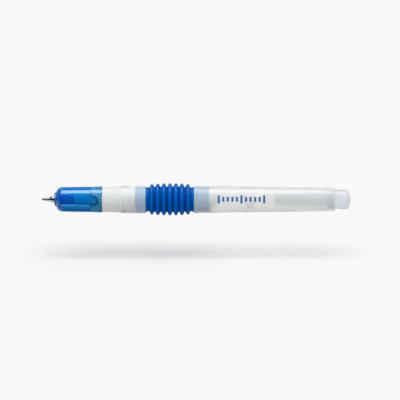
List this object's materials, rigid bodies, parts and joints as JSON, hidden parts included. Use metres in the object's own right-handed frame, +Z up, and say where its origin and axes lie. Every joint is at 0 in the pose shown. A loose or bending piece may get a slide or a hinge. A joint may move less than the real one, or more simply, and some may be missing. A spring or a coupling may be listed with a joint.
{
  "type": "correction pen",
  "caption": "Slim pump-action correction pen: needle-valve metal tip in a clear blue nose, white fluted collar, blue bellows pump between frosted barrels, and a domed tail plug.",
  "frame": {"origin": "middle of the pen's length, on its axis", "axes": "+X along the pen from the point to the tail, +Z up as the pen lies in the picture"},
  "size_m": [0.14, 0.0146, 0.0141],
  "materials": {
    "needle": "dark blue coated wire",
    "steel": "turned and polished",
    "clear_blue": "clear tinted, glossy",
    "deep_blue": "moulded, glossy",
    "mid_blue": "moulded, satin",
    "white": "moulded, satin",
    "frosted": "milky, half clear, satin",
    "bellows_blue": "soft moulded, satin",
    "natural": "uncoloured moulded",
    "seal": "pale moulded silicone"
  },
  "bodies": {
    "front": {"nozzle": "steel", "ferrule": "steel", "tip_holder": "deep_blue", "holder_seal": "seal", "valve_housing": "mid_blue", "valve_spring": "steel", "spring_seat": "natural", "nipple_seal": "seal", "nose_cone": "clear_blue", "collar": "white", "front_barrel": "frosted", "bellows": "bellows_blue", "guide_tube": "natural", "stop_ring": "natural"},
    "needle": {"valve_needle": "needle"},
    "rear": {"guide_bush": "natural", "rear_barrel": "frosted", "end_plug": "frosted", "plug_seal": "seal"},
    "ball": {"mixing_ball": "steel"}
  },
  "joints": [
    {"name": "needle_press", "type": "slide", "parent": "front", "child": "needle", "axis": [1, 0, 0], "range_m": [0, 0.0006], "stiffness_N_per_m": 150, "deforming": ["valve_spring"]},
    {"name": "pump_squeeze", "type": "slide", "parent": "front", "child": "rear", "axis": [-1, 0, 0], "range_m": [0, 0.005], "stiffness_N_per_m": 400, "deforming": ["bellows"]},
    {"name": "ball_roll", "type": "slide", "parent": "rear", "child": "ball", "axis": [1, 0, 0], "range_m": [-0.0083, 0.009]}
  ]
}
